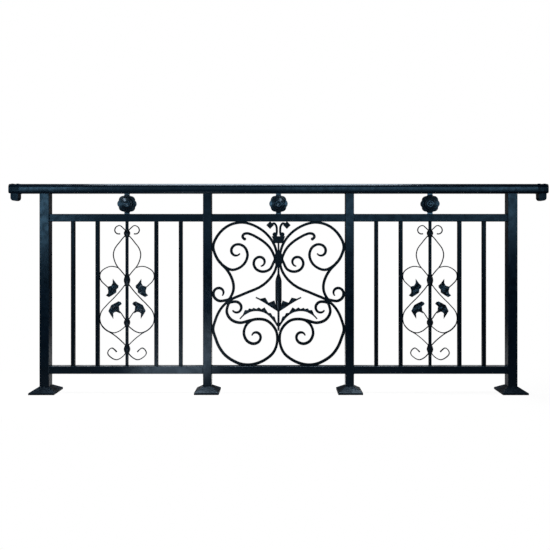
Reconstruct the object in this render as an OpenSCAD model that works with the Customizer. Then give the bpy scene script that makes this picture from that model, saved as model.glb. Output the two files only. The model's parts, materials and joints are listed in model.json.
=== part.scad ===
// Iron balcony railing with a scrollwork centre panel, two picket bays and four bolted posts.
// Millimetres. X runs along the railing, the front faces -Y, Z is up.
// The origin is the middle of the underside of the left end post's base plate.

/* [Overall] */
// Height of the handrail's top above the floor
rail_height = 1105; // [1000:5:1250]
// Centre distance of the two inner posts
centre_bay = 753; // [650:1:850]
// Centre distance of an inner post and the end post beside it
side_bay = 860; // [760:1:1000]
// Length of handrail past the centre of an end post
overhang = 187; // [120:1:300]
// Clear height between the mid rail and the handrail
frieze_gap = 109; // [100:1:150]
// Height of the bottom rail's underside above the floor
floor_gap = 100; // [70:1:140]

/* [Handrail] */
// Width of the handrail from front to back
handrail_w = 60; // [50:1:80]
// Height of the handrail's section
handrail_h = 50; // [40:1:60]
// Wall of the handrail tube
handrail_wall = 3; // [2:0.5:4]
// Radius of the handrail's upper shoulders
shoulder_r = 18; // [8:1:20]
// Radius of the handrail's lower edges
under_r = 10; // [4:1:12]
// Length of the cast end piece on the handrail
end_len = 57; // [50:1:70]
// How far the rings of the end piece stand out
ring_out = 2; // [1:0.5:4]
// Width of a ring on the end piece
ring_w = 15; // [10:1:18]
// Width of the lip turned down under the end piece
lip_w = 40; // [30:1:42]
// Drop of the lip below the handrail
lip_drop = 39; // [25:1:50]

/* [Posts and rails] */
// Side of the end posts
end_post = 50; // [40:1:60]
// Side of the inner posts
inner_post = 45; // [38:1:55]
// Wall of the post tubes
post_wall = 2.5; // [1.5:0.5:4]
// Side of the mid and bottom rails
rail = 40; // [32:1:45]
// Wall of the rail tubes
rail_wall = 2; // [1.5:0.5:3]
// Edge radius of the square tubes
tube_r = 2; // [1:0.5:3]

/* [Feet] */
// How far a foot cover stands out past its post
foot_out = 42; // [34:1:50]
// Height of a foot cover
foot_h = 34; // [26:1:60]
// Height of the upright rim of a foot cover
foot_rim = 10; // [5:1:14]
// Sheet thickness of a foot cover
foot_wall = 2.5; // [1.5:0.5:4]
// Thickness of a base plate
plate_t = 8; // [6:1:10]
// Clearance between a base plate and the cover over it
plate_gap = 1; // [0.5:0.5:3]
// Distance of an anchor hole's axis from the post's face
anchor_out = 19; // [16:0.5:24]
// Radius of an anchor hole
anchor_r = 5.5; // [4:0.5:7]

/* [Pickets] */
// Side of a picket
picket = 20; // [14:1:24]
// Wall of a picket tube
picket_wall = 1.5; // [1:0.5:2.5]
// Offset of the inner pickets from the bay's centre bar
picket_in = 156; // [140:1:175]
// Pitch of the two pickets on each side
picket_pitch = 130; // [100:1:140]
// Depth of a picket's end inside the punched rail
tenon = 10; // [6:1:20]
// Clearance of a picket in its punched hole
punch_gap = 0.3; // [0.1:0.1:1]

/* [Scrollwork] */
// Side of the bar in the middle of a side bay
bay_bar = 14; // [10:1:18]
// Width and depth of the side bays' vine bars
vine = 5; // [4:0.5:8]
// Width and depth of the centre panel's scroll bars
scroll = 14; // [10:0.5:16]
// Width of a drawn-out scroll tip
tip_w = 7; // [4:0.5:10]
// Fillet where welded bars meet
weld = 2.5; // [1:0.5:4]
// Thickness of the plates that clasp the scroll bars
clasp_t = 4; // [2:0.5:8]
// Width of the clasp on the panel's neck
clasp_w = 42; // [32:1:48]
// Height of the clasp on the panel's neck
clasp_h = 84; // [60:1:100]

/* [Castings] */
// Diameter of a rosette
rosette_d = 98; // [80:1:100]
// Number of petals in each row of a rosette
petals = 8; // [6:1:10]
// Thickness of a rosette's petals
petal_t = 5; // [3:0.5:8]
// How far a petal's rim stands forward of its root
petal_cup = 6; // [2:0.5:10]
// Width of the cleft between two petals
cleft = 2; // [1:0.5:4]
// Diameter of a collar on the bay bar
collar_d = 34; // [28:1:44]
// Width of the bead at each end of a collar
bead = 4; // [3:0.5:6]
// Wall of a collar over the bay bar's corners
collar_wall = 1.2; // [1:0.1:3]
// Thickness of a cast leaf at its edge
leaf_t = 5; // [4:0.5:8]
// How far a leaf's raised middle stands out on each face
leaf_rise = 2; // [1:0.5:4]
// Width of the raised edge band of an ivy leaf
leaf_edge = 5; // [3:0.5:7]
// Width of a panel leaf's stem
stem_w = 11; // [8:0.5:14]
// Radius of the spear's bud
spear_r = 17; // [13:0.5:20]
// Radius of the spear's stem
stem_r = 6; // [4:0.5:7]
// Width of the crown's curled stems
crown_bar = 12; // [8:0.5:13]
// Half diagonal of the crown's diamond heads
crown_head = 20.5; // [15:0.5:24]

/* [Hidden] */
$fn = 48;
// Positions along the railing from its middle
inner_x = centre_bay / 2;
end_x = inner_x + side_bay;
half_len = end_x + overhang;
// Levels
handrail_z = rail_height - handrail_h;
mid_z = handrail_z - frieze_gap - rail;
low_z = floor_gap + rail;
panel_h = mid_z - low_z;
frieze_z = handrail_z - frieze_gap / 2;
// Clear widths of the bays between post faces
centre_clear = centre_bay - inner_post;
side_clear = side_bay - (inner_post + end_post) / 2;
side_x = (inner_x + inner_post / 2 + end_x - end_post / 2) / 2;
picket_clear = picket_in - picket / 2;
picket_offsets = [-picket_in - picket_pitch, -picket_in, picket_in, picket_in + picket_pitch];
iron = [0.09, 0.11, 0.15];

// Scrollwork is laid out in thousandths of the opening that it fills: first the distance from the
// opening's middle line, then the height above the bottom rail. At 1000 a bar touches the post,
// the picket or the upper rail.

// Volutes, from the outside in: middle, outer and inner radius, first and last angle
high_volute = [[648, 799], 291, 65, 282, -150];
low_volute = [[349, 197], 187, 62, 14, -345];
inner_volute = [[279, 724], 184, 66, -142, 265];
side_volute = [[908, 507], 153, 66, -130, 225];
curl_volute = [[645, 398], 110, 68, 60, 330];
// Heights of the neck, where all bars run together, and of the place where the lower loops touch
neck = [0, 745];
touch = [0, 183];
// Main bar: the upper loop, the sweep out to the knot and round the lower loop, and the way up to its volute
high_loop = [
    [872, 708], [976, 783], [1001, 830], [933, 910], [743, 986], [555, 1003],
    [331, 972], [150, 906], [55, 834]
];
sweep = [
    [52, 664], [107, 620], [227, 564], [536, 497], [763, 448], [846, 414], [913, 371], [970, 309],
    [1002, 245], [968, 190], [908, 122], [820, 67], [708, 29], [580, 3], [447, -3], [306, 11], [187, 39],
    [90, 77], [32, 132]
];
low_loop = [[32, 231], [90, 276], [187, 311], [291, 320], [411, 311], [486, 283]];
// Inner bar: a hook over the volute, down to the neck
hook = [
    [519, 886], [550, 902], [536, 918], [486, 926], [417, 918], [331, 898], [219, 864], [124, 819], [77, 778]
];
below_neck = [80, 716];
// Side bar: springs from the upper loop and runs down past the knot
side_run = [[904, 727], [866, 705], [804, 676], [709, 600], [688, 557], [691, 525], [720, 487], [769, 458]];
// Low bar: springs from the lower loop and curls up to the knot
low_run = [[350, 319], [450, 309], [584, 294], [715, 313], [766, 338], [792, 369], [780, 409], [754, 434]];
knot = [763, 448];
// Leaves beside the spear: middle of the stem from root to tip, then the points of the lobes
low_leaf = [
    [11, 272], [69, 313], [130, 345], [199, 368], [276, 380], [348, 383], [429, 377], [498, 361], [591, 321]
];
low_lobes = [[60, 337], [114, 362], [214, 403], [303, 403], [386, 400], [453, 396], [516, 384]];
high_leaf = [[8, 381], [107, 410], [188, 434], [268, 455], [348, 473]];
high_lobes = [[63, 452], [201, 472]];
// Crown: the cup with the pin under it, a curled stem, the bead at its foot and its diamond head
cup = [[14, 790], [14, 856], [60, 856], [104, 906]];
crown_stem = [[50, 900], [30, 922], [26, 948], [36, 980], [66, 996], [100, 990]];
crown_bead = [58, 918];
crown_tip = [129, 984];

// Side bay, one half: the vines from top to bottom
top_curl = [[28, 935], [123, 954], [283, 976], [420, 962], [455, 941], [390, 921], [257, 918]];
lens = [
    [28, 913], [111, 897], [299, 854], [452, 814], [507, 772], [473, 736], [361, 690], [208, 657], [28, 612]
];
high_branch = [
    [320, 680], [486, 689], [605, 690], [813, 676], [966, 651], [1008, 622],
    [966, 593], [820, 563], [681, 540]
];
diamond = [
    [28, 574], [250, 519], [466, 474], [765, 417], [959, 370], [1008, 323], [938, 277], [806, 249],
    [556, 221], [299, 184], [28, 133]
];
low_branch = [[938, 280], [820, 254], [695, 238], [486, 226], [299, 237], [125, 261], [28, 277]];
leaf_stem = [[28, 312], [83, 325], [250, 370], [348, 386]];
low_curl = [
    [28, 91], [83, 76], [188, 56], [403, 38], [570, 51], [716, 84],
    [660, 109], [556, 120], [466, 109], [382, 92]
];
// Ivy leaves from the stem round, and the veins from the root
high_ivy = [
    [735, 548], [584, 556], [528, 574], [528, 603], [405, 571], [318, 556], [327, 541], [394, 529],
    [402, 507], [543, 489], [669, 475], [783, 487], [699, 503], [688, 521]
];
high_veins = [[690, 540], [540, 585], [350, 552], [440, 512], [730, 486]];
low_ivy = [
    [265, 362], [292, 389], [301, 411], [195, 428], [242, 442], [323, 446], [457, 433], [584, 420],
    [690, 378], [599, 350], [509, 324], [517, 360], [457, 371], [379, 373]
];
low_veins = [[310, 382], [235, 432], [420, 425], [650, 378], [530, 345]];
// Collars of the bay bar: height of the middle, length
collars = [[922, 54], [594, 82], [298, 62], [112, 70]];

function unit(v) = v / norm(v);
function reversed(p) = [for (i = [len(p) - 1 : -1 : 0]) p[i]];

// Thousandths of an opening in millimetres, for a bar of width w
function fit(p, clear, w) = [
    for (q = p) [q[0] * (clear - w / 2) / 1000, w / 2 + q[1] * (panel_h - w) / 1000]
];
function in_panel(p) = fit(p, centre_clear / 2, scroll);
function in_bay(p) = fit(p, picket_clear, vine);
function panel_level(h) = in_panel([[0, h]])[0][1];

// A volute keeps round when the opening changes its proportions
function volute(v, step = 45) =
    let (c = in_panel([v[0]])[0], n = ceil(abs(v[4] - v[3]) / step), k = (centre_clear - scroll) / 2000)
    [for (i = [0 : n])
        let (t = i / n, a = v[3] + (v[4] - v[3]) * t, r = v[2] + (v[1] - v[2]) * (1 - t) ^ 3)
        c + k * r * [cos(a), sin(a)]];

// A point beside the middle line, k bar widths out
function beside(k, p) = [k * scroll, panel_level(p[1])];

function main_path() = concat(
    reversed(volute(high_volute)), in_panel(high_loop), [beside(0.45, neck)],
    in_panel(sweep), [beside(0.45, touch)], in_panel(low_loop), volute(low_volute)
);
function inner_path() = concat(
    in_panel(hook), [beside(1.36, neck)], in_panel([below_neck]), volute(inner_volute)
);
function side_path() = concat(in_panel(side_run), volute(side_volute));
function low_path() = concat(in_panel(low_run), volute(curl_volute));

// Tangent of a smooth curve at one of its points, weighted by the chords beside it
function chord_tangent(p, i) =
    let (a = norm(p[i] - p[i - 1]), b = norm(p[i + 1] - p[i]))
    ((p[i] - p[i - 1]) * b / a + (p[i + 1] - p[i]) * a / b) / (a + b);
function tangent(p, i) =
    let (n = len(p) - 1)
    i == 0 ? 2 * unit(p[1] - p[0]) - chord_tangent(p, 1)
    : i == n ? 2 * unit(p[n] - p[n - 1]) - chord_tangent(p, n - 1)
    : chord_tangent(p, i);
function between(p, i, t) =
    let (d = norm(p[i + 1] - p[i]))
    p[i] * (2 * t ^ 3 - 3 * t ^ 2 + 1) + tangent(p, i) * d * (t ^ 3 - 2 * t ^ 2 + t)
    + p[i + 1] * (3 * t ^ 2 - 2 * t ^ 3) + tangent(p, i + 1) * d * (t ^ 3 - t ^ 2);

// The points of a smooth curve through p, with n steps between neighbours
function curve(p, n) = concat(
    [for (i = [0 : len(p) - 2], k = [0 : n - 1]) between(p, i, k / n)],
    [p[len(p) - 1]]
);

// Left-hand normal of a row of points
function normal(c, i) =
    let (n = len(c) - 1, d = unit(c[min(i + 1, n)] - c[max(i - 1, 0)]))
    [-d[1], d[0]];

// Width along a bar: full, drawn out to a tip over the last points of a tapered end
function bar_w(i, n, w, a, b, run) =
    let (s = a ? min(1, i / run) : 1, e = b ? min(1, (n - i) / run) : 1)
    tip_w + (w - tip_w) * min(s, e) * (2 - min(s, e));

// A bent bar seen from the front: a and b say whether its start and its end are drawn out
module bent_bar(p, w, a = true, b = true, n = 4, run = 16) {
    c = curve(p, n);
    m = len(c) - 1;
    left = [for (i = [0 : m]) c[i] + normal(c, i) * bar_w(i, m, w, a, b, run) / 2];
    right = [for (i = [m : -1 : 0]) c[i] - normal(c, i) * bar_w(i, m, w, a, b, run) / 2];
    polygon(concat(left, right));
}

// Draws a front outline on both sides of the middle line
module both_sides() {
    for (s = [0, 1])
        mirror([s, 0])
            children();
}

// Raises a front outline, drawn in X and Z, to a plate of depth d about the railing's middle plane
module upright(d) {
    rotate([90, 0, 0])
        linear_extrude(d, center = true)
            children();
}

// Lays the same plate of thickness t on the front and the back of a bar of depth d
module on_both_faces(d, t) {
    for (s = [-1, 1])
        translate([0, s * (d + t) / 2, 0])
            upright(t)
                children();
}

// Everything is drawn about the railing's middle and shifted to the origin at the left end post
module placed() {
    translate([end_x, 0, 0])
        children();
}

module flipped(right) {
    mirror([right ? 0 : 1, 0, 0])
        children();
}

// Section of a square tube
module tube_section(side, wall) {
    difference() {
        offset(r = tube_r, $fn = 16)
            square(side - 2 * tube_r, center = true);
        square(side - 2 * wall, center = true);
    }
}

module post(x, side) {
    color(iron)
        placed()
            translate([x, 0, plate_t])
                linear_extrude(handrail_z - plate_t)
                    tube_section(side, post_wall);
}

function foot_side(side) = side + 2 * foot_out;
function plate_side(side) = foot_side(side) - 2 * (foot_wall + plate_gap);

module base_plate(x, side) {
    a = side / 2 + anchor_out;
    color(iron)
        placed()
            translate([x, 0, 0])
                difference() {
                    translate([-plate_side(side) / 2, -plate_side(side) / 2, 0])
                        cube([plate_side(side), plate_side(side), plate_t]);
                    for (i = [-a, a], j = [-a, a])
                        translate([i, j, -1])
                            cylinder(h = plate_t + 2, r = anchor_r);
                }
}

// Square hip-roofed block: upright rim, then four slopes up to the post
module hipped(low, rim, high, h) {
    side = [[-low, 0], [low, 0], [low, rim], [high, h], [-high, h], [-low, rim]];
    intersection() {
        rotate([90, 0, 0])
            linear_extrude(2 * low + 2, center = true)
                polygon(side);
        rotate([90, 0, 90])
            linear_extrude(2 * low + 2, center = true)
                polygon(side);
    }
}

module foot_cover(x, side) {
    low = foot_side(side) / 2;
    high = side / 2 + foot_wall;
    color(iron)
        placed()
            translate([x, 0, 0])
                difference() {
                    hipped(low, foot_rim, high, foot_h);
                    translate([0, 0, -1])
                        hipped(low - foot_wall, foot_rim, high - foot_wall, foot_h - foot_wall);
                    translate([-side / 2, -side / 2, -1])
                        cube([side, side, foot_h + 2]);
                }
}

// Loaf-shaped outline of the handrail, shrunk by a wall
module loaf(inset) {
    w = handrail_w / 2 - inset;
    top = max(1, shoulder_r - inset);
    low = max(1, under_r - inset);
    hull() {
        for (s = [-1, 1]) {
            translate([s * (w - top), handrail_h - inset - top])
                circle(top);
            translate([s * (w - low), inset + low])
                circle(low);
        }
    }
}

// Lays a section, drawn in Y and Z, along X from a to b
module along(a, b) {
    translate([a, 0, 0])
        rotate([90, 0, 90])
            linear_extrude(b - a)
                children();
}

module handrail() {
    color(iron)
        placed()
            translate([0, 0, handrail_z])
                along(-half_len + end_len, half_len - end_len)
                    difference() {
                        loaf(0);
                        loaf(handrail_wall);
                    }
}

// Cast end of the handrail: a sleeve with two stepped rings and a round lip turned down below
module handrail_end(right) {
    gap = (end_len - 2 * ring_w) / 4;
    lip_r = lip_w * 0.4;
    lip_x = end_len - gap - lip_w;
    color(iron)
        placed()
            flipped(right)
                translate([half_len - end_len, 0, handrail_z]) {
                    along(0, end_len)
                        loaf(0);
                    for (a = [gap, end_len - gap - ring_w]) {
                        along(a, a + ring_w)
                            loaf(-ring_out / 2);
                        along(a + ring_w / 4, a + ring_w * 3 / 4)
                            loaf(-ring_out);
                    }
                    upright(handrail_w - 2 * under_r)
                        hull() {
                            translate([lip_x, 0])
                                square([lip_w, under_r]);
                            for (x = [lip_x + lip_r, lip_x + lip_w - lip_r])
                                translate([x, lip_r - lip_drop])
                                    circle(lip_r);
                        }
                }
}

// A rail of square tube between two post faces, punched for the pickets at the given places
module rail_tube(a, b, z, holes, up) {
    punch = picket + 2 * punch_gap;
    color(iron)
        placed()
            translate([0, 0, z + rail / 2])
                difference() {
                    along(a, b)
                        tube_section(rail, rail_wall);
                    for (x = holes)
                        translate([x - punch / 2, -punch / 2, up ? 0 : -rail])
                            cube([punch, punch, rail]);
                }
}

module side_rail(right, z, up) {
    s = right ? 1 : -1;
    a = s * side_x - side_clear / 2;
    rail_tube(a, a + side_clear, z, [for (o = picket_offsets) s * side_x + o], up);
}

module centre_rail(z) {
    rail_tube(-centre_clear / 2, centre_clear / 2, z, [], true);
}

module pickets(right) {
    color(iron)
        placed()
            for (o = picket_offsets)
                translate([(right ? 1 : -1) * side_x + o, 0, low_z - tenon])
                    linear_extrude(panel_h + 2 * tenon)
                        tube_section(picket, picket_wall);
}

module bay_bar_solid(right) {
    color(iron)
        placed()
            translate([(right ? 1 : -1) * side_x - bay_bar / 2, -bay_bar / 2, low_z])
                cube([bay_bar, bay_bar, panel_h]);
}

// Outline of a ring of round petals that reaches out to radius r
module petal_outline(r) {
    s = sin(180 / petals);
    p = 1.7 * r * s / (1 + s);
    circle(r - p);
    for (i = [0 : petals - 1])
        rotate(360 / petals * i)
            translate([r - p, 0])
                circle(p);
}

// One row of petals: a dish cut to the petals' outline, with a groove between neighbours in its front
module petal_row(r, z) {
    root = r * 0.5;
    rim = z + petal_cup;
    difference() {
        intersection() {
            linear_extrude(rim + petal_t)
                petal_outline(r);
            rotate_extrude()
                polygon([[0, 0], [root, 0], [root, z], [r, rim],
                    [r, rim + petal_t], [root, z + petal_t], [0, z + petal_t]]);
        }
        intersection() {
            rotate_extrude()
                polygon([[root, z + petal_t / 2], [r, rim + petal_t / 2],
                    [r, rim + 2 * petal_t], [root, rim + 2 * petal_t]]);
            for (i = [0 : petals - 1])
                rotate(360 / petals * (i + 0.5))
                    translate([r * 0.6, -cleft / 2, 0])
                        cube([r, cleft, rim + 2 * petal_t]);
        }
    }
}

// Rosette, the same on both faces: two rows of cupped petals about a boss, held by a web between the rails
module rosette(x) {
    r = rosette_d / 2;
    boss = petal_t * 2 + petal_cup;
    web = rosette_d / 9;
    color(iron)
        placed()
            translate([x, 0, frieze_z]) {
                for (s = [0, 180])
                    rotate([90, 0, s]) {
                        petal_row(r, 0);
                        rotate(180 / petals)
                            petal_row(r * 0.64, petal_t);
                        rotate_extrude()
                            polygon([[0, 0], [r * 0.27, 0], [r * 0.27, boss - petal_t], [r * 0.22, boss],
                                [r * 0.1, boss + petal_t / 2], [0, boss + petal_t / 2]]);
                    }
                upright(petal_t)
                    for (s = [0, 1])
                        mirror([0, s])
                            polygon([[-web, 0], [web, 0],
                                [1.3 * web, frieze_gap / 2], [-1.3 * web, frieze_gap / 2]]);
            }
}

// Front outline of a collar on the bay bar: a barrel between two beads
function collar_profile(l) =
    let (neck_r = bay_bar / sqrt(2) + collar_wall, bead_r = neck_r + bead / 3, r = collar_d / 2)
    [
        [0, -l / 2], [neck_r, -l / 2], [bead_r, -l / 2 + bead / 2], [bead_r, -l / 2 + bead],
        [neck_r, -l / 2 + 1.5 * bead], [(neck_r + 2 * r) / 3, -l * 0.2], [r, -l * 0.07],
        [r, l * 0.07], [(neck_r + 2 * r) / 3, l * 0.2], [neck_r, l / 2 - 1.5 * bead],
        [bead_r, l / 2 - bead], [bead_r, l / 2 - bead / 2], [neck_r, l / 2], [0, l / 2]
    ];
function collar_z(c) = in_bay([c])[0][1];
function collar_len(c) = c[1] * panel_h / 1000;

module bay_collars() {
    for (c = collars)
        translate([0, collar_z([0, c[0]])])
            both_sides()
                polygon(collar_profile(collar_len(c)));
}

module in_side_bay(right) {
    placed()
        translate([(right ? 1 : -1) * side_x, 0, low_z])
            children();
}

module ivy_outlines() {
    polygon(in_bay(high_ivy));
    polygon(in_bay(low_ivy));
}

// Vines of one half bay as they show from the front
module vine_outline() {
    offset(delta = -weld)
        offset(delta = weld)
            difference() {
                intersection() {
                    union() {
                        for (p = [lens, high_branch, diamond, low_branch, leaf_stem])
                            bent_bar(in_bay(p), vine, a = false, b = false);
                        for (p = [top_curl, low_curl])
                            bent_bar(in_bay(p), vine, a = false);
                    }
                    square([picket_clear, panel_h]);
                }
                bay_collars();
                ivy_outlines();
                square([bay_bar, 2 * panel_h], center = true);
            }
}

module vines(right) {
    color(iron)
        in_side_bay(right)
            upright(vine)
                both_sides()
                    vine_outline();
}

module vine_collars(right) {
    color(iron)
        in_side_bay(right)
            difference() {
                for (c = collars)
                    translate([0, 0, collar_z([0, c[0]])])
                        rotate_extrude()
                            polygon(collar_profile(collar_len(c)));
                translate([-bay_bar / 2, -bay_bar / 2, 0])
                    cube([bay_bar, bay_bar, panel_h]);
            }
}

// Raised field of an ivy leaf: the leaf without its edge, with veins that run out from the root
module ivy_field(leaf, veins) {
    intersection() {
        polygon(leaf);
        union() {
            offset(delta = -leaf_edge)
                polygon(leaf);
            for (i = [1 : len(veins) - 1])
                bent_bar([veins[0], (veins[0] + veins[i]) / 2, veins[i]], leaf_edge,
                    a = false, n = 1, run = 2);
        }
    }
}

module vine_leaves(right) {
    color(iron)
        in_side_bay(right) {
            upright(leaf_t)
                both_sides()
                    ivy_outlines();
            upright(leaf_t + 2 * leaf_rise)
                both_sides() {
                    ivy_field(in_bay(high_ivy), in_bay(high_veins));
                    ivy_field(in_bay(low_ivy), in_bay(low_veins));
                }
        }
}

// Scroll bars of one half of the centre panel as they show from the front
module scroll_lines() {
    bent_bar(main_path(), scroll);
    bent_bar(inner_path(), scroll, a = false);
    bent_bar(side_path(), scroll, a = false);
    bent_bar(low_path(), scroll, a = false);
    translate(in_panel([hook[0]])[0])
        circle(scroll * 0.6, $fn = 16);
}

module scroll_outline() {
    offset(delta = -weld)
        offset(delta = weld)
            intersection() {
                scroll_lines();
                square([centre_clear / 2, panel_h]);
            }
}

module in_centre_panel() {
    placed()
        translate([0, 0, low_z])
            children();
}

module panel_scrolls(right) {
    color(iron)
        in_centre_panel()
            flipped(right)
                upright(scroll)
                    scroll_outline();
}

// Barrel-shaped plates that clasp the bars at the neck, each with a band across its middle
module panel_collar() {
    w = clasp_w / 2;
    h = clasp_h / 2;
    barrel = [[w * 0.55, -h], [w * 0.75, -h * 0.85], [w * 0.95, -h * 0.4]];
    right = concat(barrel, [[w, 0]], [for (q = reversed(barrel)) [q[0], -q[1]]]);
    color(iron)
        in_centre_panel()
            translate([0, 0, panel_level(neck[1])]) {
                on_both_faces(scroll, clasp_t)
                    polygon(concat(right, -right));
                on_both_faces(scroll, clasp_t * 2)
                    square([clasp_w, clasp_h / 5], center = true);
            }
}

// Round studs on both faces where the bars cross beside the posts
module panel_knots() {
    color(iron)
        in_centre_panel()
            on_both_faces(scroll, clasp_t)
                both_sides()
                    translate(in_panel([knot])[0])
                        circle(scroll * 0.8);
}

// Half outline of the spear: a long bud on a thin stem, with a ring where the upper leaves spring
function spear_profile() = [
    for (q = [
        [0, 238], [0.7 * stem_r, 238], [stem_r, 250], [stem_r, 372], [1.8 * stem_r, 380], [1.8 * stem_r, 392],
        [spear_r, 452], [spear_r, 588], [0.85 * spear_r, 606], [stem_r, 640], [0.8 * stem_r, 712], [0, 712]
    ]) [q[0], panel_level(q[1])]
];

// The spear's ends are fitted between the bars that carry it
module panel_spear() {
    color(iron)
        in_centre_panel()
            difference() {
                rotate_extrude()
                    polygon(spear_profile());
                upright(scroll)
                    both_sides()
                        scroll_outline();
            }
}

// A serrated leaf: a tapering stem with pointed lobes along one side
module serrated_leaf(stem, points) {
    c = curve(stem, 8);
    n = len(c) - 1;
    bent_bar(stem, stem_w, a = false);
    for (p = points) {
        d = [for (q = c) norm(q - p)];
        i = search(min(d), d)[0];
        polygon([c[max(i - 11, 0)], p, c[min(i + 6, n)]]);
    }
}

module leaf_outline() {
    difference() {
        union() {
            serrated_leaf(in_panel(low_leaf), in_panel(low_lobes));
            serrated_leaf(in_panel(high_leaf), in_panel(high_lobes));
        }
        both_sides()
            polygon(spear_profile());
        translate([-panel_h, 0])
            square(panel_h);
        scroll_outline();
    }
}

// The leaves and the raised midrib along their stems
module panel_leaves() {
    color(iron)
        in_centre_panel() {
            upright(leaf_t)
                both_sides()
                    offset(delta = 0)
                        leaf_outline();
            upright(leaf_t + 2 * leaf_rise)
                both_sides()
                    intersection() {
                        offset(delta = 0)
                            leaf_outline();
                        union() {
                            bent_bar(in_panel(low_leaf), stem_w * 0.6, a = false);
                            bent_bar(in_panel(high_leaf), stem_w * 0.6, a = false);
                        }
                    }
        }
}

// Crown between the two loops: a cup on a pin, two curled stems with diamond heads, and a pair of beads
module panel_crown() {
    half = in_panel(cup);
    color(iron)
        in_centre_panel() {
            upright(scroll + clasp_t)
                offset(delta = 0)
                    difference() {
                        polygon(concat(half, [for (q = reversed(half)) [-q[0], q[1]]]));
                        both_sides()
                            scroll_outline();
                    }
            upright(scroll)
                intersection() {
                    both_sides() {
                        bent_bar(in_panel(crown_stem), crown_bar, a = false, b = false);
                        translate(in_panel([crown_tip])[0])
                            circle(crown_head, $fn = 4);
                        translate(in_panel([crown_bead])[0])
                            circle(crown_bar, $fn = 16);
                    }
                    translate([-centre_clear / 2, 0])
                        square([centre_clear, panel_h]);
                }
        }
}

handrail();
handrail_end(false);  // handrail_end_left
handrail_end(true);  // handrail_end_right
post(-end_x, end_post);  // end_post_left
post(-inner_x, inner_post);  // inner_post_left
post(inner_x, inner_post);  // inner_post_right
post(end_x, end_post);  // end_post_right
base_plate(-end_x, end_post);  // end_plate_left
base_plate(-inner_x, inner_post);  // inner_plate_left
base_plate(inner_x, inner_post);  // inner_plate_right
base_plate(end_x, end_post);  // end_plate_right
foot_cover(-end_x, end_post);  // end_foot_left
foot_cover(-inner_x, inner_post);  // inner_foot_left
foot_cover(inner_x, inner_post);  // inner_foot_right
foot_cover(end_x, end_post);  // end_foot_right
side_rail(false, mid_z, false);  // mid_rail_left
centre_rail(mid_z);  // mid_rail_centre
side_rail(true, mid_z, false);  // mid_rail_right
side_rail(false, floor_gap, true);  // bottom_rail_left
centre_rail(floor_gap);  // bottom_rail_centre
side_rail(true, floor_gap, true);  // bottom_rail_right
rosette(-side_x);  // rosette_left
rosette(0);  // rosette_centre
rosette(side_x);  // rosette_right
pickets(false);  // pickets_left
pickets(true);  // pickets_right
bay_bar_solid(false);  // bay_bar_left
bay_bar_solid(true);  // bay_bar_right
vines(false);  // vines_left
vines(true);  // vines_right
vine_collars(false);  // vine_collars_left
vine_collars(true);  // vine_collars_right
vine_leaves(false);  // vine_leaves_left
vine_leaves(true);  // vine_leaves_right
panel_scrolls(false);  // panel_scrolls_left
panel_scrolls(true);  // panel_scrolls_right
panel_collar();
panel_knots();
panel_crown();
panel_spear();
panel_leaves();
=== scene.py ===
"""Looks of the iron balcony railing: satin coats, weld beads, a white studio and the photograph's camera."""

import json
import math

import bpy
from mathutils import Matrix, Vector


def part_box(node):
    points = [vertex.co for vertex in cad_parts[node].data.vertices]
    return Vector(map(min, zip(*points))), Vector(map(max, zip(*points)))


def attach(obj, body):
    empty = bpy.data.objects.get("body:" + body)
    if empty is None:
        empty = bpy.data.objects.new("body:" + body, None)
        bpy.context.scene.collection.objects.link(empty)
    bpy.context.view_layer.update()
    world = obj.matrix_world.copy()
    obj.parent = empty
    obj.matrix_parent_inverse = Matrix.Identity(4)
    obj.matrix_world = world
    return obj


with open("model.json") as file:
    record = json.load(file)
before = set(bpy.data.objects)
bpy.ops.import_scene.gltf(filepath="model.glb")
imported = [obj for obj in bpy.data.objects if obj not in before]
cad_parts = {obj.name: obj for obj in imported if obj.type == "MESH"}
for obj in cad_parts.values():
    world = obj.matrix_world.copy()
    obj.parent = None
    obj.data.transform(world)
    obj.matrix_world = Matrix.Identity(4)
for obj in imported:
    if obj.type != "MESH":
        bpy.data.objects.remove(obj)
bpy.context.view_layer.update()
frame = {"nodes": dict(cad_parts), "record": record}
nodes = frame["nodes"]
scene = bpy.context.scene
slots = {s["node"]: s["material_slot"] for s in frame["record"]["subparts"]}

# Frame of the photograph, in pixels
FRAME_PX = 550
AXIS_PX = (278.5, 240.0)
FOCAL_PX = 600.0
# Width of the sensor, in millimetres
SENSOR_MM = 36
# Camera and railing, in metres
CAMERA_Y = -3.19
CAMERA_Z = 0.808
MIDDLE_X = (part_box("end_post_left")[0].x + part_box("end_post_right")[1].x) / 2
HANDRAIL_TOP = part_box("handrail")[1].z

# Linear colours: blue-black of tubes, near black of forged and cast work, painted top light, tint of
# reflections
INK = (0.0012, 0.0036, 0.0075)
SOOT = (0.0012, 0.0024, 0.0042)
# Painted top light: a lighter colour in the tint of reflections, laid on faces that look up
TOP_LIGHT_COLOUR = (0.014, 0.022, 0.030)
SHEEN = (0.50, 0.75, 1.0)
# Linear colours of the lamps
WHITE = (1, 1, 1)
COOL = (0.60, 0.87, 1.0)
WARM = (1.0, 0.90, 0.85)

# Sizes of noise in metres: clouds of the ground, flecks of painted top light, patches of gloss and orange
# peel
CLOUD_SIZE = 0.09
FLECK_SIZE = 0.02
PATCH_SIZE = 0.03
PEEL_SIZE = 0.0016
# Range of noise that is spread out to dark and light
NOISE_SPAN = (0.3, 0.7)
# Darkest and lightest cloud, as shares of the ground colour
CLOUD_TONES = (0.7, 1.35)
# Painted top light: how far a face looks up where it begins and where it is full, and its share between
# flecks
TOP_LIGHT_SLOPES = (0.25, 0.95)
TOP_LIGHT_LEAST = 0.5
# Roughness of the patches below and above that of the coat
ROUGH_BELOW = 0.05
ROUGH_ABOVE = 0.06
PEEL_STRENGTH = 0.03
PEEL_DEPTH = 0.0002
# Depth of the casting grain as a share of its size
GRAIN_DEPTH = 1 / 3
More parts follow.
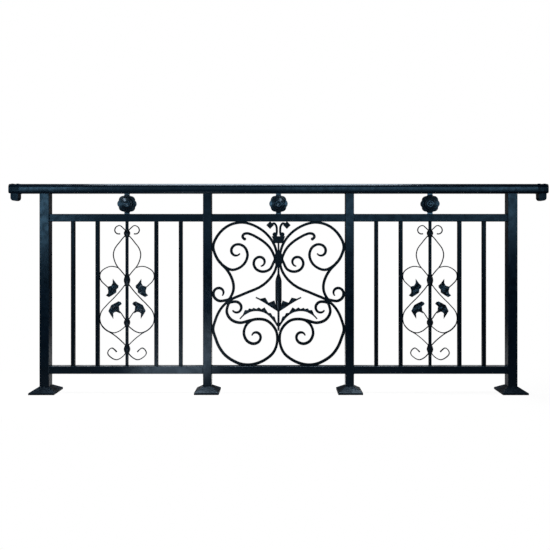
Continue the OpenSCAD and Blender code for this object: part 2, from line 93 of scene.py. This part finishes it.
# Painted shade: the handrail has its full gloss above one height and only a share of it below another,
# darker towards the bottom
UNSHADED_ABOVE = HANDRAIL_TOP - 0.026
SHADED_BELOW = HANDRAIL_TOP - 0.037
SHADED_GLOSS_SHARE = 0.3

# Edges sharper than this stay sharp in shading and are rounded
SHARP = math.radians(32)
ROUNDING_STEPS = 2

# Weld beads: radius in metres, steps round the bar and round the bead, and ripples
RAIL_BEAD = 0.0025
UPRIGHT_BEAD = 0.002
WELD_TURNS = 96
WELD_SIDES = 8
WELD_RIPPLES = 28
RIPPLE_DEPTH = 0.12
# Power that draws a circle out into a square with round corners
SQUARENESS = 0.3
WELDED = ("mid_rail", "bottom_rail", "end_post", "inner_post", "bay_bar")

# Floor: half side, distances from the railing over which plain white takes over, and its shares there
FLOOR_REACH = 30
FLOOR_FADE = (0.08, 0.5)
FLOOR_PLAIN = (0.93, 1)
# White of the floor to other rays and to the camera, and level of the room
FLOOR_TONES = (0.35, 0.9)
ROOM = 0.07

# Angles in degrees to which grids narrow the beams of lamps
OPEN = 180
FRONT_GRID = 130
OVERHEAD_GRID = 60


def place(tree):
    """Coordinates of the object itself, in metres."""
    return tree.nodes.new("ShaderNodeTexCoord").outputs["Object"]


def axis(tree, vector, letter):
    """One of the three numbers of a vector."""
    n = tree.nodes.new("ShaderNodeSeparateXYZ")
    tree.links.new(vector, n.inputs["Vector"])
    return n.outputs[letter]


def noise(tree, size, detail):
    """Noise whose features are about size metres wide."""
    n = tree.nodes.new("ShaderNodeTexNoise")
    n.inputs["Scale"].default_value = 1 / size
    n.inputs["Detail"].default_value = detail
    tree.links.new(place(tree), n.inputs["Vector"])
    return n.outputs["Fac"]


def spread(tree, value, source, target):
    """Maps a value from one range to another, smoothly and clamped."""
    n = tree.nodes.new("ShaderNodeMapRange")
    n.interpolation_type = "SMOOTHSTEP"
    for socket, number in zip(("From Min", "From Max", "To Min", "To Max"), (*source, *target)):
        n.inputs[socket].default_value = number
    tree.links.new(value, n.inputs["Value"])
    return n.outputs["Result"]


def work_out(tree, operation, *values):
    """Result of a calculation with one or two values."""
    n = tree.nodes.new("ShaderNodeMath")
    n.operation = operation
    for socket, value in zip(n.inputs, values):
        tree.links.new(value, socket)
    return n.outputs["Value"]


def bump(tree, height, strength, depth, under=None):
    """Normals of a rough surface, laid over those of another one if it is given."""
    n = tree.nodes.new("ShaderNodeBump")
    n.inputs["Strength"].default_value = strength
    n.inputs["Distance"].default_value = depth
    tree.links.new(height, n.inputs["Height"])
    if under:
        tree.links.new(under, n.inputs["Normal"])
    return n.outputs["Normal"]


def clouds(tree, ground):
    """Ground colour in two tones that run into each other."""
    tone = tree.nodes.new("ShaderNodeValToRGB")
    for stop, position, share in zip(tone.color_ramp.elements, NOISE_SPAN, CLOUD_TONES):
        stop.position = position
        stop.color = [share * c for c in ground] + [1]
    tree.links.new(noise(tree, CLOUD_SIZE, detail=5), tone.inputs["Fac"])
    return tone.outputs["Color"]


def top_lit(tree, colour, top_light):
    """Colour with painted top light on faces that look up, broken up into flecks."""
    normal = tree.nodes.new("ShaderNodeNewGeometry").outputs["Normal"]
    # Painted top light: faces that look up are lightened towards a sheen-tinted colour
    upward = spread(tree, axis(tree, normal, "Z"), TOP_LIGHT_SLOPES, (0, top_light))
    flecks = spread(tree, noise(tree, FLECK_SIZE, detail=6), NOISE_SPAN, (TOP_LIGHT_LEAST, 1))
    lightened = tree.nodes.new("ShaderNodeMix")
    lightened.data_type = "RGBA"
    lightened.inputs["B"].default_value = (*TOP_LIGHT_COLOUR, 1)
    tree.links.new(work_out(tree, "MULTIPLY", upward, flecks), lightened.inputs["Factor"])
    tree.links.new(colour, lightened.inputs["A"])
    return lightened.outputs["Result"]


def coat(name, ground, rough, grain, top_light, gloss, shaded_underside=False):
    """Satin powder coat: cloudy ground, painted top light on upper faces, uneven gloss, orange peel and
    casting grain.
    """
    mat = bpy.data.materials.new(name)
    mat.use_nodes = True
    tree = mat.node_tree
    link = tree.links.new
    shader = tree.nodes["Principled BSDF"].inputs
    link(top_lit(tree, clouds(tree, ground), top_light), shader["Base Color"])
    patches = noise(tree, PATCH_SIZE, detail=3)
    link(spread(tree, patches, NOISE_SPAN, (rough - ROUGH_BELOW, rough + ROUGH_ABOVE)), shader["Roughness"])
    shader["Specular IOR Level"].default_value = gloss
    shader["Specular Tint"].default_value = (*SHEEN, 1)
    if shaded_underside:
        # Painted shade: the handrail's gloss falls towards its underside
        height = axis(tree, place(tree), "Z")
        painted_shade = spread(tree, height, (SHADED_BELOW, UNSHADED_ABOVE), (SHADED_GLOSS_SHARE * gloss, gloss))
        link(painted_shade, shader["Specular IOR Level"])
    peel = bump(tree, noise(tree, PEEL_SIZE, detail=2), PEEL_STRENGTH, PEEL_DEPTH)
    strength, size = grain
    link(bump(tree, noise(tree, size, detail=3), strength, size * GRAIN_DEPTH, peel), shader["Normal"])
    return mat


# Coat of each slot, with its share of painted top light and the strength and the size in metres of its grain
COATS = {
    "handrail": coat("handrail_coat", INK, rough=0.22, grain=(0.02, 0.012), top_light=0, gloss=0.20, shaded_underside=True),
    "post": coat("post_coat", INK, rough=0.21, grain=(0.02, 0.015), top_light=0.3, gloss=0.14),
    "rail_and_picket": coat("rail_coat", INK, rough=0.24, grain=(0.02, 0.012), top_light=0.8, gloss=0.105),
    "foot_cover": coat("foot_coat", INK, rough=0.38, grain=(0.05, 0.010), top_light=0.3, gloss=0.11),
    "base_plate": coat("plate_coat", INK, rough=0.55, grain=(0.15, 0.006), top_light=0.5, gloss=0.17),
    "scroll_bar": coat("forged_coat", SOOT, rough=0.36, grain=(0.15, 0.009), top_light=0.3, gloss=0.10),
    "cast_ornament": coat("cast_coat", SOOT, rough=0.34, grain=(0.25, 0.004), top_light=0.4, gloss=0.13),
}
# Nodes that look different from the rest of their slot, by the start of their names
COATS_BY_NODE = {
    "handrail_end": coat("end_coat", INK, rough=0.18, grain=(0.1, 0.006), top_light=0.2, gloss=0.05),
    "rosette": coat("rosette_coat", INK, rough=0.26, grain=(0.15, 0.006), top_light=0.6, gloss=0.75),
    "pickets": coat("picket_coat", SOOT, rough=0.30, grain=(0.02, 0.012), top_light=0.3, gloss=0.08),
    "bottom_rail": coat("bottom_rail_coat", INK, rough=0.24, grain=(0.02, 0.012), top_light=0.8, gloss=0.15),
    "panel_spear": coat("spear_coat", SOOT, rough=0.30, grain=(0.10, 0.010), top_light=0.3, gloss=0.24),
    "vine_leaves": coat("vine_leaf_coat", SOOT, rough=0.17, grain=(1.0, 0.030), top_light=0.3, gloss=0.26),
    "panel_leaves": coat("panel_leaf_coat", SOOT, rough=0.18, grain=(1.0, 0.025), top_light=0.3, gloss=0.22),
}
# Width of the rounding on sharp edges of each slot, in metres
ROUNDINGS = {
    "handrail": 0.0008,
    "post": 0.0008,
    "rail_and_picket": 0.0006,
    "foot_cover": 0.0012,
    "base_plate": 0.0008,
    "scroll_bar": 0.0018,
    "cast_ornament": 0.0010,
}


def smooth_by_angle():
    """Geometry nodes that shade a mesh smooth except over its sharp edges."""
    group = bpy.data.node_groups.new("smooth_by_angle", "GeometryNodeTree")
    link = group.links.new
    for way in ("INPUT", "OUTPUT"):
        group.interface.new_socket("Geometry", in_out=way, socket_type="NodeSocketGeometry")
    angle = group.nodes.new("GeometryNodeInputMeshEdgeAngle")
    soft = group.nodes.new("FunctionNodeCompare")
    soft.operation = "LESS_THAN"
    soft.inputs["B"].default_value = SHARP
    link(angle.outputs["Unsigned Angle"], soft.inputs["A"])
    faces = group.nodes.new("GeometryNodeSetShadeSmooth")
    edges = group.nodes.new("GeometryNodeSetShadeSmooth")
    edges.domain = "EDGE"
    link(soft.outputs["Result"], edges.inputs["Shade Smooth"])
    link(group.nodes.new("NodeGroupInput").outputs["Geometry"], faces.inputs["Geometry"])
    link(faces.outputs["Geometry"], edges.inputs["Geometry"])
    link(edges.outputs["Geometry"], group.nodes.new("NodeGroupOutput").inputs["Geometry"])
    return group


def dress(name, node, smooth):
    """Gives a node its coat, its smooth shading and the rounding of its sharp edges."""
    slot = slots[name]
    mat = next((m for start, m in COATS_BY_NODE.items() if name.startswith(start)), COATS[slot])
    node.data.materials.clear()
    node.data.materials.append(mat)
    node.modifiers.new("smooth", "NODES").node_group = smooth
    edge = node.modifiers.new("rounding", "BEVEL")
    edge.width = ROUNDINGS[slot]
    edge.segments = ROUNDING_STEPS
    edge.limit_method = "ANGLE"
    edge.angle_limit = SHARP
    edge.harden_normals = True


def rounded_square(turn, side, up):
    """Point of a square with round corners, at an angle from one side towards another."""
    c = math.cos(turn)
    s = math.sin(turn)
    return side * math.copysign(abs(c) ** SQUARENESS, c) + up * math.copysign(abs(s) ** SQUARENESS, s)


def weld_ring(verts, faces, at, along, half, bead):
    """Adds a rippled bead of weld round the end of a square bar of the given half side."""
    side = Vector((0, 1, 0))
    up = along.cross(side)
    start = len(verts)
    for i in range(WELD_TURNS):
        turn = math.tau * i / WELD_TURNS
        out = rounded_square(turn, side, up)
        ripple = bead * (1 + RIPPLE_DEPTH * math.sin(WELD_RIPPLES * turn))
        a = start + i * WELD_SIDES
        b = start + (i + 1) % WELD_TURNS * WELD_SIDES
        for j in range(WELD_SIDES):
            way = math.tau * j / WELD_SIDES
            swell = out.normalized() * math.cos(way) + along * math.sin(way)
            verts.append(at + out * half + swell * ripple)
            k = (j + 1) % WELD_SIDES
            faces.append((a + j, a + k, b + k, b + j))


def weld_ends(verts, faces, name):
    """Adds the beads of one node: at both ends of a rail or bay bar, and at the top of a post."""
    low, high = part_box(name)
    middle = (low + high) / 2
    if "rail" in name:
        half = (high.z - low.z) / 2
        for x in (low.x, high.x):
            weld_ring(verts, faces, Vector((x, middle.y, middle.z)), Vector((1, 0, 0)), half, RAIL_BEAD)
        return
    half = (high.x - low.x) / 2
    for z in (low.z, high.z) if "bar" in name else (high.z,):
        weld_ring(verts, faces, Vector((middle.x, middle.y, z)), Vector((0, 0, 1)), half, UPRIGHT_BEAD)


def weld_beads():
    """Welds where the rails meet the posts, the posts meet the handrail and the bay bars meet the rails."""
    verts = []
    faces = []
    for name in nodes:
        if name.startswith(WELDED):
            weld_ends(verts, faces, name)
    mesh = bpy.data.meshes.new("weld_beads")
    mesh.from_pydata(verts, [], faces)
    mesh.shade_smooth()
    mesh.materials.append(COATS["post"])
    obj = bpy.data.objects.new("weld_beads", mesh)
    scene.collection.objects.link(obj)
    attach(obj, "root")


def floor_white():
    """Lit white, which camera rays see mixed with more plain white farther from the railing's plane."""
    mat = bpy.data.materials.new("floor_white")
    mat.use_nodes = True
    tree = mat.node_tree
    link = tree.links.new
    tree.nodes.remove(tree.nodes["Principled BSDF"])
    seen = tree.nodes.new("ShaderNodeLightPath").outputs["Is Camera Ray"]
    lit = tree.nodes.new("ShaderNodeBsdfDiffuse")
    link(spread(tree, seen, (0, 1), FLOOR_TONES), lit.inputs["Color"])
    glow = tree.nodes.new("ShaderNodeEmission")
    glow.inputs["Color"].default_value = (*WHITE, 1)
    glow.inputs["Strength"].default_value = 1
    away = work_out(tree, "ABSOLUTE", axis(tree, place(tree), "Y"))
    share = work_out(tree, "MULTIPLY", spread(tree, away, FLOOR_FADE, FLOOR_PLAIN), seen)
    mix = tree.nodes.new("ShaderNodeMixShader")
    link(share, mix.inputs["Fac"])
    link(lit.outputs["BSDF"], mix.inputs[1])
    link(glow.outputs["Emission"], mix.inputs[2])
    link(mix.outputs["Shader"], tree.nodes["Material Output"].inputs["Surface"])
    return mat


def floor():
    """White floor that fades into the surroundings but keeps the railing's shadow close to its feet."""
    r = FLOOR_REACH
    mesh = bpy.data.meshes.new("floor")
    mesh.from_pydata([(-r, -r, 0), (r, -r, 0), (r, r, 0), (-r, r, 0)], [], [(0, 1, 2, 3)])
    mesh.materials.append(floor_white())
    obj = bpy.data.objects.new("floor", mesh)
    scene.collection.objects.link(obj)


def surroundings():
    """World that is white to the camera and a dim room to everything else."""
    world = bpy.data.worlds.new("studio")
    scene.world = world
    world.use_nodes = True
    tree = world.node_tree
    room = tree.nodes["Background"].inputs
    room["Color"].default_value = (*WHITE, 1)
    seen = tree.nodes.new("ShaderNodeLightPath").outputs["Is Camera Ray"]
    tree.links.new(spread(tree, seen, (0, 1), (ROOM, 1)), room["Strength"])


def softbox(name, size, power, at, aim, grid=OPEN, colour=WHITE):
    """Rectangular lamp that looks from one place at another, both measured from the railing's middle."""
    light = bpy.data.lights.new(name, "AREA")
    light.shape = "RECTANGLE"
    light.size, light.size_y = size
    light.energy = power
    light.spread = math.radians(grid)
    light.color = colour
    obj = bpy.data.objects.new(name, light)
    scene.collection.objects.link(obj)
    obj.location = Vector((MIDDLE_X, 0, 0)) + Vector(at)
    obj.rotation_euler = (Vector(aim) - Vector(at)).to_track_quat("-Z", "Y").to_euler()


def front_box(name, size, power, x, y, z):
    """Cool lamp behind the camera that looks straight at the railing's plane."""
    softbox(name, size, power, at=(x, y, z), aim=(x, 0, z), grid=FRONT_GRID, colour=COOL)


def lamps():
    """Lamps that make the gleams of the photograph, with their sizes in metres and powers in watts."""
    softbox("overhead", (2.7, 1.6), 55, at=(-0.25, 0.3, 3.2), aim=(-0.25, 0.3, 0), grid=OVERHEAD_GRID)
    front_box("front", (7, 1.0), 20, x=0, y=-5.2, z=1.25)
    front_box("front_half", (3.6, 0.85), 19, x=1.95, y=-5.18, z=1.33)
    front_box("front_left", (0.9, 1.0), 19, x=-3.3, y=-5.15, z=1.25)
    front_box("front_right", (0.9, 0.8), 6, x=3.3, y=-5.15, z=1.5)
    softbox("left_strip", (0.8, 2.0), 30, at=(-4.8, -1.4, 1.0), aim=(0, 0, 0.8))
    softbox("right_strip", (0.8, 2.0), 20, at=(4.8, -1.4, 1.0), aim=(0, 0, 0.8))
    softbox("floor_panel", (0.45, 1.8), 24, at=(-0.66, -1.25, 0.002), aim=(-0.66, -1.25, 1), colour=WARM)
    for x in (-2.4, 2.4):
        softbox("back", (2.4, 0.5), 5, at=(x, 5.2, 1.25), aim=(x, 0, 1.25))


def photograph_camera():
    """Level camera in front of the railing's middle, with the photograph's lens and axis."""
    camera = bpy.data.cameras.new("camera")
    camera.sensor_width = SENSOR_MM
    camera.lens = SENSOR_MM * FOCAL_PX / FRAME_PX
    camera.shift_x = (FRAME_PX / 2 - AXIS_PX[0]) / FRAME_PX
    camera.shift_y = (AXIS_PX[1] - FRAME_PX / 2) / FRAME_PX
    eye = bpy.data.objects.new("camera", camera)
    eye.location = (MIDDLE_X, CAMERA_Y, CAMERA_Z)
    eye.rotation_euler = (math.pi / 2, 0, 0)
    scene.collection.objects.link(eye)
    scene.camera = eye


shading = smooth_by_angle()
for name, node in nodes.items():
    dress(name, node, shading)
weld_beads()
floor()
surroundings()
lamps()
photograph_camera()
scene.view_settings.view_transform = "Standard"
